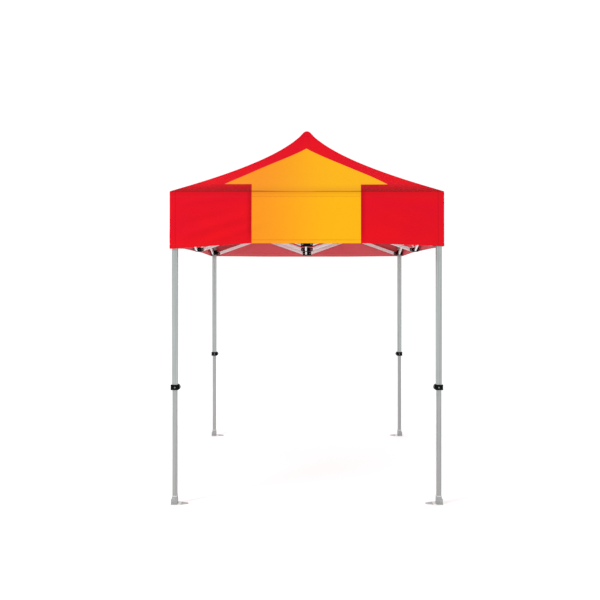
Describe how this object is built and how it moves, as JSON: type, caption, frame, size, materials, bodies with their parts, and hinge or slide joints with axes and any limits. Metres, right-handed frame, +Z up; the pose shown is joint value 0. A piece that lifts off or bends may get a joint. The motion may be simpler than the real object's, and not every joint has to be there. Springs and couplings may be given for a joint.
{
  "type": "pop up canopy",
  "caption": "Square pop up canopy with a peaked red fabric cover and valance on a folding scissor frame with telescoping metal legs.",
  "frame": {"origin": "centre of the footprint on the ground, under the peak", "axes": "+Z up; -Y is the front, the side with the printed arrow; +X is to the right seen from the front"},
  "size_m": [1.524, 1.524, 2.25],
  "materials": {
    "leg_metal": "satin",
    "bar_metal": "satin",
    "foot_metal": "matte",
    "black_plastic": "satin",
    "grey_plastic": "satin",
    "cover_fabric": "matte"
  },
  "bodies": {
    "centre_frame": {"centre_hub_top": "black_plastic", "canopy_cover": "cover_fabric"},
    "arm_front_down": {"arm_front_down": "bar_metal"},
    "arm_front_up": {"arm_front_up": "bar_metal"},
    "side_bracket_front_bottom": {"side_bracket_front_bottom": "black_plastic"},
    "side_bracket_front_top": {"side_bracket_front_top": "black_plastic"},
    "centre_pole": {"centre_hub_bottom_and_pole": "bar_metal", "pole_head": "black_plastic"},
    "arm_right_down": {"arm_right_down": "bar_metal"},
    "arm_right_up": {"arm_right_up": "bar_metal"},
    "side_bracket_right_bottom": {"side_bracket_right_bottom": "black_plastic"},
    "side_bracket_right_top": {"side_bracket_right_top": "black_plastic"},
    "arm_back_down": {"arm_back_down": "bar_metal"},
    "arm_back_up": {"arm_back_up": "bar_metal"},
    "side_bracket_back_bottom": {"side_bracket_back_bottom": "black_plastic"},
    "side_bracket_back_top": {"side_bracket_back_top": "black_plastic"},
    "arm_left_down": {"arm_left_down": "bar_metal"},
    "arm_left_up": {"arm_left_up": "bar_metal"},
    "side_bracket_left_bottom": {"side_bracket_left_bottom": "black_plastic"},
    "side_bracket_left_top": {"side_bracket_left_top": "black_plastic"},
    "side_bar_front_left_down": {"side_bar_front_left_down": "bar_metal"},
    "side_bar_front_left_up": {"side_bar_front_left_up": "bar_metal"},
    "leg_slider_front_left": {"leg_slider_front_left": "black_plastic"},
    "outer_leg_front_left": {"outer_leg_front_left": "leg_metal", "top_bracket_front_left": "black_plastic", "leg_clamp_front_left": "black_plastic"},
    "inner_leg_front_left": {"inner_leg_front_left": "foot_metal"},
    "clamp_button_front_left": {"clamp_button_front_left": "grey_plastic"},
    "side_bar_front_right_down": {"side_bar_front_right_down": "bar_metal"},
    "side_bar_front_right_up": {"side_bar_front_right_up": "bar_metal"},
    "leg_slider_front_right": {"leg_slider_front_right": "black_plastic"},
    "outer_leg_front_right": {"outer_leg_front_right": "leg_metal", "top_bracket_front_right": "black_plastic", "leg_clamp_front_right": "black_plastic"},
    "inner_leg_front_right": {"inner_leg_front_right": "foot_metal"},
    "clamp_button_front_right": {"clamp_button_front_right": "grey_plastic"},
    "side_bar_right_front_down": {"side_bar_right_front_down": "bar_metal"},
    "side_bar_right_front_up": {"side_bar_right_front_up": "bar_metal"},
    "side_bar_right_back_down": {"side_bar_right_back_down": "bar_metal"},
    "side_bar_right_back_up": {"side_bar_right_back_up": "bar_metal"},
    "side_bar_back_right_down": {"side_bar_back_right_down": "bar_metal"},
    "side_bar_back_right_up": {"side_bar_back_right_up": "bar_metal"},
    "leg_slider_back_right": {"leg_slider_back_right": "black_plastic"},
    "outer_leg_back_right": {"outer_leg_back_right": "leg_metal", "top_bracket_back_right": "black_plastic", "leg_clamp_back_right": "black_plastic"},
    "inner_leg_back_right": {"inner_leg_back_right": "foot_metal"},
    "clamp_button_back_right": {"clamp_button_back_right": "grey_plastic"},
    "side_bar_back_left_down": {"side_bar_back_left_down": "bar_metal"},
    "side_bar_back_left_up": {"side_bar_back_left_up": "bar_metal"},
    "leg_slider_back_left": {"leg_slider_back_left": "black_plastic"},
    "outer_leg_back_left": {"outer_leg_back_left": "leg_metal", "top_bracket_back_left": "black_plastic", "leg_clamp_back_left": "black_plastic"},
    "inner_leg_back_left": {"inner_leg_back_left": "foot_metal"},
    "clamp_button_back_left": {"clamp_button_back_left": "grey_plastic"},
    "side_bar_left_front_down": {"side_bar_left_front_down": "bar_metal"},
    "side_bar_left_front_up": {"side_bar_left_front_up": "bar_metal"},
    "side_bar_left_back_down": {"side_bar_left_back_down": "bar_metal"},
    "side_bar_left_back_up": {"side_bar_left_back_up": "bar_metal"}
  },
  "joints": [
    {"name": "frame_fold", "type": "hinge", "parent": "centre_frame", "child": "arm_front_down", "pos_m": [0, -0.03, 1.69], "axis": [1, 0, 0], "range_deg": [0, 65.5]},
    {"name": "arm_front_scissor_rivet", "type": "hinge", "parent": "arm_front_down", "child": "arm_front_up", "pos_m": [0, -0.3685, 1.57], "axis": [1, 0, 0], "range_deg": [-131, 0]},
    {"name": "arm_front_low_outer_pivot", "type": "hinge", "parent": "arm_front_down", "child": "side_bracket_front_bottom", "pos_m": [0, -0.707, 1.45], "axis": [1, 0, 0], "range_deg": [-65.5, 0]},
    {"name": "arm_front_high_outer_pivot", "type": "hinge", "parent": "arm_front_up", "child": "side_bracket_front_top", "pos_m": [0, -0.707, 1.69], "axis": [1, 0, 0], "range_deg": [0, 65.5]},
    {"name": "centre_pole_pivot", "type": "hinge", "parent": "arm_front_up", "child": "centre_pole", "pos_m": [0, -0.03, 1.45], "axis": [1, 0, 0], "range_deg": [0, 65.5]},
    {"name": "arm_right_top_pivot", "type": "hinge", "parent": "centre_frame", "child": "arm_right_down", "pos_m": [0.03, 0, 1.69], "axis": [0, 1, 0], "range_deg": [0, 65.5]},
    {"name": "arm_right_scissor_rivet", "type": "hinge", "parent": "arm_right_down", "child": "arm_right_up", "pos_m": [0.3685, 0, 1.57], "axis": [0, 1, 0], "range_deg": [-131, 0]},
    {"name": "arm_right_low_outer_pivot", "type": "hinge", "parent": "arm_right_down", "child": "side_bracket_right_bottom", "pos_m": [0.707, 0, 1.45], "axis": [0, 1, 0], "range_deg": [-65.5, 0]},
    {"name": "arm_right_high_outer_pivot", "type": "hinge", "parent": "arm_right_up", "child": "side_bracket_right_top", "pos_m": [0.707, 0, 1.69], "axis": [0, 1, 0], "range_deg": [0, 65.5]},
    {"name": "arm_back_top_pivot", "type": "hinge", "parent": "centre_frame", "child": "arm_back_down", "pos_m": [0, 0.03, 1.69], "axis": [-1, 0, 0], "range_deg": [0, 65.5]},
    {"name": "arm_back_scissor_rivet", "type": "hinge", "parent": "arm_back_down", "child": "arm_back_up", "pos_m": [0, 0.3685, 1.57], "axis": [-1, 0, 0], "range_deg": [-131, 0]},
    {"name": "arm_back_low_outer_pivot", "type": "hinge", "parent": "arm_back_down", "child": "side_bracket_back_bottom", "pos_m": [0, 0.707, 1.45], "axis": [-1, 0, 0], "range_deg": [-65.5, 0]},
    {"name": "arm_back_high_outer_pivot", "type": "hinge", "parent": "arm_back_up", "child": "side_bracket_back_top", "pos_m": [0, 0.707, 1.69], "axis": [-1, 0, 0], "range_deg": [0, 65.5]},
    {"name": "arm_left_top_pivot", "type": "hinge", "parent": "centre_frame", "child": "arm_left_down", "pos_m": [-0.03, 0, 1.69], "axis": [0, -1, 0], "range_deg": [0, 65.5]},
    {"name": "arm_left_scissor_rivet", "type": "hinge", "parent": "arm_left_down", "child": "arm_left_up", "pos_m": [-0.3685, 0, 1.57], "axis": [0, -1, 0], "range_deg": [-131, 0]},
    {"name": "arm_left_low_outer_pivot", "type": "hinge", "parent": "arm_left_down", "child": "side_bracket_left_bottom", "pos_m": [-0.707, 0, 1.45], "axis": [0, -1, 0], "range_deg": [-65.5, 0]},
    {"name": "arm_left_high_outer_pivot", "type": "hinge", "parent": "arm_left_up", "child": "side_bracket_left_top", "pos_m": [-0.707, 0, 1.69], "axis": [0, -1, 0], "range_deg": [0, 65.5]},
    {"name": "side_bar_front_left_top_pivot", "type": "hinge", "parent": "side_bracket_front_top", "child": "side_bar_front_left_down", "pos_m": [-0.024, -0.737, 1.69], "axis": [0, -1, 0], "range_deg": [0, 65.5]},
    {"name": "side_bar_front_left_scissor_rivet", "type": "hinge", "parent": "side_bar_front_left_down", "child": "side_bar_front_left_up", "pos_m": [-0.3625, -0.737, 1.57], "axis": [0, -1, 0], "range_deg": [-131, 0]},
    {"name": "leg_slider_front_left_pivot", "type": "hinge", "parent": "side_bar_front_left_down", "child": "leg_slider_front_left", "pos_m": [-0.701, -0.737, 1.45], "axis": [0, -1, 0], "range_deg": [-65.5, 0]},
    {"name": "outer_leg_front_left_pivot", "type": "hinge", "parent": "side_bar_front_left_up", "child": "outer_leg_front_left", "pos_m": [-0.701, -0.737, 1.69], "axis": [0, -1, 0], "range_deg": [0, 65.5]},
    {"name": "leg_front_left_telescope", "type": "slide", "parent": "outer_leg_front_left", "child": "inner_leg_front_left", "axis": [0, 0, 1], "range_m": [0, 0.55]},
    {"name": "clamp_button_front_left_press", "type": "slide", "parent": "outer_leg_front_left", "child": "clamp_button_front_left", "axis": [-1, 0, 0], "range_m": [0, 0.004], "stiffness_N_per_m": 400, "springref_m": -0.002},
    {"name": "side_bar_front_right_top_pivot", "type": "hinge", "parent": "side_bracket_front_top", "child": "side_bar_front_right_down", "pos_m": [0.024, -0.737, 1.69], "axis": [0, 1, 0], "range_deg": [0, 65.5]},
    {"name": "side_bar_front_right_scissor_rivet", "type": "hinge", "parent": "side_bar_front_right_down", "child": "side_bar_front_right_up", "pos_m": [0.3625, -0.737, 1.57], "axis": [0, 1, 0], "range_deg": [-131, 0]},
    {"name": "leg_slider_front_right_pivot", "type": "hinge", "parent": "side_bar_front_right_down", "child": "leg_slider_front_right", "pos_m": [0.701, -0.737, 1.45], "axis": [0, 1, 0], "range_deg": [-65.5, 0]},
    {"name": "outer_leg_front_right_pivot", "type": "hinge", "parent": "side_bar_front_right_up", "child": "outer_leg_front_right", "pos_m": [0.701, -0.737, 1.69], "axis": [0, 1, 0], "range_deg": [0, 65.5]},
    {"name": "leg_front_right_telescope", "type": "slide", "parent": "outer_leg_front_right", "child": "inner_leg_front_right", "axis": [0, 0, 1], "range_m": [0, 0.55]},
    {"name": "clamp_button_front_right_press", "type": "slide", "parent": "outer_leg_front_right", "child": "clamp_button_front_right", "axis": [1, 0, 0], "range_m": [0, 0.004], "stiffness_N_per_m": 400, "springref_m": -0.002},
    {"name": "side_bar_right_front_top_pivot", "type": "hinge", "parent": "side_bracket_right_top", "child": "side_bar_right_front_down", "pos_m": [0.737, -0.024, 1.69], "axis": [1, 0, 0], "range_deg": [0, 65.5]},
    {"name": "side_bar_right_front_scissor_rivet", "type": "hinge", "parent": "side_bar_right_front_down", "child": "side_bar_right_front_up", "pos_m": [0.737, -0.3625, 1.57], "axis": [1, 0, 0], "range_deg": [-131, 0]},
    {"name": "side_bar_right_back_top_pivot", "type": "hinge", "parent": "side_bracket_right_top", "child": "side_bar_right_back_down", "pos_m": [0.737, 0.024, 1.69], "axis": [-1, 0, 0], "range_deg": [0, 65.5]},
    {"name": "side_bar_right_back_scissor_rivet", "type": "hinge", "parent": "side_bar_right_back_down", "child": "side_bar_right_back_up", "pos_m": [0.737, 0.3625, 1.57], "axis": [-1, 0, 0], "range_deg": [-131, 0]},
    {"name": "side_bar_back_right_top_pivot", "type": "hinge", "parent": "side_bracket_back_top", "child": "side_bar_back_right_down", "pos_m": [0.024, 0.737, 1.69], "axis": [0, 1, 0], "range_deg": [0, 65.5]},
    {"name": "side_bar_back_right_scissor_rivet", "type": "hinge", "parent": "side_bar_back_right_down", "child": "side_bar_back_right_up", "pos_m": [0.3625, 0.737, 1.57], "axis": [0, 1, 0], "range_deg": [-131, 0]},
    {"name": "leg_slider_back_right_pivot", "type": "hinge", "parent": "side_bar_back_right_down", "child": "leg_slider_back_right", "pos_m": [0.701, 0.737, 1.45], "axis": [0, 1, 0], "range_deg": [-65.5, 0]},
    {"name": "outer_leg_back_right_pivot", "type": "hinge", "parent": "side_bar_back_right_up", "child": "outer_leg_back_right", "pos_m": [0.701, 0.737, 1.69], "axis": [0, 1, 0], "range_deg": [0, 65.5]},
    {"name": "leg_back_right_telescope", "type": "slide", "parent": "outer_leg_back_right", "child": "inner_leg_back_right", "axis": [0, 0, 1], "range_m": [0, 0.55]},
    {"name": "clamp_button_back_right_press", "type": "slide", "parent": "outer_leg_back_right", "child": "clamp_button_back_right", "axis": [1, 0, 0], "range_m": [0, 0.004], "stiffness_N_per_m": 400, "springref_m": -0.002},
    {"name": "side_bar_back_left_top_pivot", "type": "hinge", "parent": "side_bracket_back_top", "child": "side_bar_back_left_down", "pos_m": [-0.024, 0.737, 1.69], "axis": [0, -1, 0], "range_deg": [0, 65.5]},
    {"name": "side_bar_back_left_scissor_rivet", "type": "hinge", "parent": "side_bar_back_left_down", "child": "side_bar_back_left_up", "pos_m": [-0.3625, 0.737, 1.57], "axis": [0, -1, 0], "range_deg": [-131, 0]},
    {"name": "leg_slider_back_left_pivot", "type": "hinge", "parent": "side_bar_back_left_down", "child": "leg_slider_back_left", "pos_m": [-0.701, 0.737, 1.45], "axis": [0, -1, 0], "range_deg": [-65.5, 0]},
    {"name": "outer_leg_back_left_pivot", "type": "hinge", "parent": "side_bar_back_left_up", "child": "outer_leg_back_left", "pos_m": [-0.701, 0.737, 1.69], "axis": [0, -1, 0], "range_deg": [0, 65.5]},
    {"name": "leg_back_left_telescope", "type": "slide", "parent": "outer_leg_back_left", "child": "inner_leg_back_left", "axis": [0, 0, 1], "range_m": [0, 0.55]},
    {"name": "clamp_button_back_left_press", "type": "slide", "parent": "outer_leg_back_left", "child": "clamp_button_back_left", "axis": [-1, 0, 0], "range_m": [0, 0.004], "stiffness_N_per_m": 400, "springref_m": -0.002},
    {"name": "side_bar_left_front_top_pivot", "type": "hinge", "parent": "side_bracket_left_top", "child": "side_bar_left_front_down", "pos_m": [-0.737, -0.024, 1.69], "axis": [1, 0, 0], "range_deg": [0, 65.5]},
    {"name": "side_bar_left_front_scissor_rivet", "type": "hinge", "parent": "side_bar_left_front_down", "child": "side_bar_left_front_up", "pos_m": [-0.737, -0.3625, 1.57], "axis": [1, 0, 0], "range_deg": [-131, 0]},
    {"name": "side_bar_left_back_top_pivot", "type": "hinge", "parent": "side_bracket_left_top", "child": "side_bar_left_back_down", "pos_m": [-0.737, 0.024, 1.69], "axis": [-1, 0, 0], "range_deg": [0, 65.5]},
    {"name": "side_bar_left_back_scissor_rivet", "type": "hinge", "parent": "side_bar_left_back_down", "child": "side_bar_left_back_up", "pos_m": [-0.737, 0.3625, 1.57], "axis": [-1, 0, 0], "range_deg": [-131, 0]}
  ],
  "couplings": [
    {"joint": "arm_front_scissor_rivet", "follows": "frame_fold", "ratio": -2},
    {"joint": "arm_front_low_outer_pivot", "follows": "frame_fold", "ratio": -1},
    {"joint": "arm_front_high_outer_pivot", "follows": "frame_fold", "ratio": 1},
    {"joint": "centre_pole_pivot", "follows": "frame_fold", "ratio": 1},
    {"joint": "arm_right_top_pivot", "follows": "frame_fold", "ratio": 1},
    {"joint": "arm_right_scissor_rivet", "follows": "frame_fold", "ratio": -2},
    {"joint": "arm_right_low_outer_pivot", "follows": "frame_fold", "ratio": -1},
    {"joint": "arm_right_high_outer_pivot", "follows": "frame_fold", "ratio": 1},
    {"joint": "arm_back_top_pivot", "follows": "frame_fold", "ratio": 1},
    {"joint": "arm_back_scissor_rivet", "follows": "frame_fold", "ratio": -2},
    {"joint": "arm_back_low_outer_pivot", "follows": "frame_fold", "ratio": -1},
    {"joint": "arm_back_high_outer_pivot", "follows": "frame_fold", "ratio": 1},
    {"joint": "arm_left_top_pivot", "follows": "frame_fold", "ratio": 1},
    {"joint": "arm_left_scissor_rivet", "follows": "frame_fold", "ratio": -2},
    {"joint": "arm_left_low_outer_pivot", "follows": "frame_fold", "ratio": -1},
    {"joint": "arm_left_high_outer_pivot", "follows": "frame_fold", "ratio": 1},
    {"joint": "side_bar_front_left_top_pivot", "follows": "frame_fold", "ratio": 1},
    {"joint": "side_bar_front_left_scissor_rivet", "follows": "frame_fold", "ratio": -2},
    {"joint": "leg_slider_front_left_pivot", "follows": "frame_fold", "ratio": -1},
    {"joint": "outer_leg_front_left_pivot", "follows": "frame_fold", "ratio": 1},
    {"joint": "side_bar_front_right_top_pivot", "follows": "frame_fold", "ratio": 1},
    {"joint": "side_bar_front_right_scissor_rivet", "follows": "frame_fold", "ratio": -2},
    {"joint": "leg_slider_front_right_pivot", "follows": "frame_fold", "ratio": -1},
    {"joint": "outer_leg_front_right_pivot", "follows": "frame_fold", "ratio": 1},
    {"joint": "side_bar_right_front_top_pivot", "follows": "frame_fold", "ratio": 1},
    {"joint": "side_bar_right_front_scissor_rivet", "follows": "frame_fold", "ratio": -2},
    {"joint": "side_bar_right_back_top_pivot", "follows": "frame_fold", "ratio": 1},
    {"joint": "side_bar_right_back_scissor_rivet", "follows": "frame_fold", "ratio": -2},
    {"joint": "side_bar_back_right_top_pivot", "follows": "frame_fold", "ratio": 1},
    {"joint": "side_bar_back_right_scissor_rivet", "follows": "frame_fold", "ratio": -2},
    {"joint": "leg_slider_back_right_pivot", "follows": "frame_fold", "ratio": -1},
    {"joint": "outer_leg_back_right_pivot", "follows": "frame_fold", "ratio": 1},
    {"joint": "side_bar_back_left_top_pivot", "follows": "frame_fold", "ratio": 1},
    {"joint": "side_bar_back_left_scissor_rivet", "follows": "frame_fold", "ratio": -2},
    {"joint": "leg_slider_back_left_pivot", "follows": "frame_fold", "ratio": -1},
    {"joint": "outer_leg_back_left_pivot", "follows": "frame_fold", "ratio": 1},
    {"joint": "side_bar_left_front_top_pivot", "follows": "frame_fold", "ratio": 1},
    {"joint": "side_bar_left_front_scissor_rivet", "follows": "frame_fold", "ratio": -2},
    {"joint": "side_bar_left_back_top_pivot", "follows": "frame_fold", "ratio": 1},
    {"joint": "side_bar_left_back_scissor_rivet", "follows": "frame_fold", "ratio": -2}
  ]
}
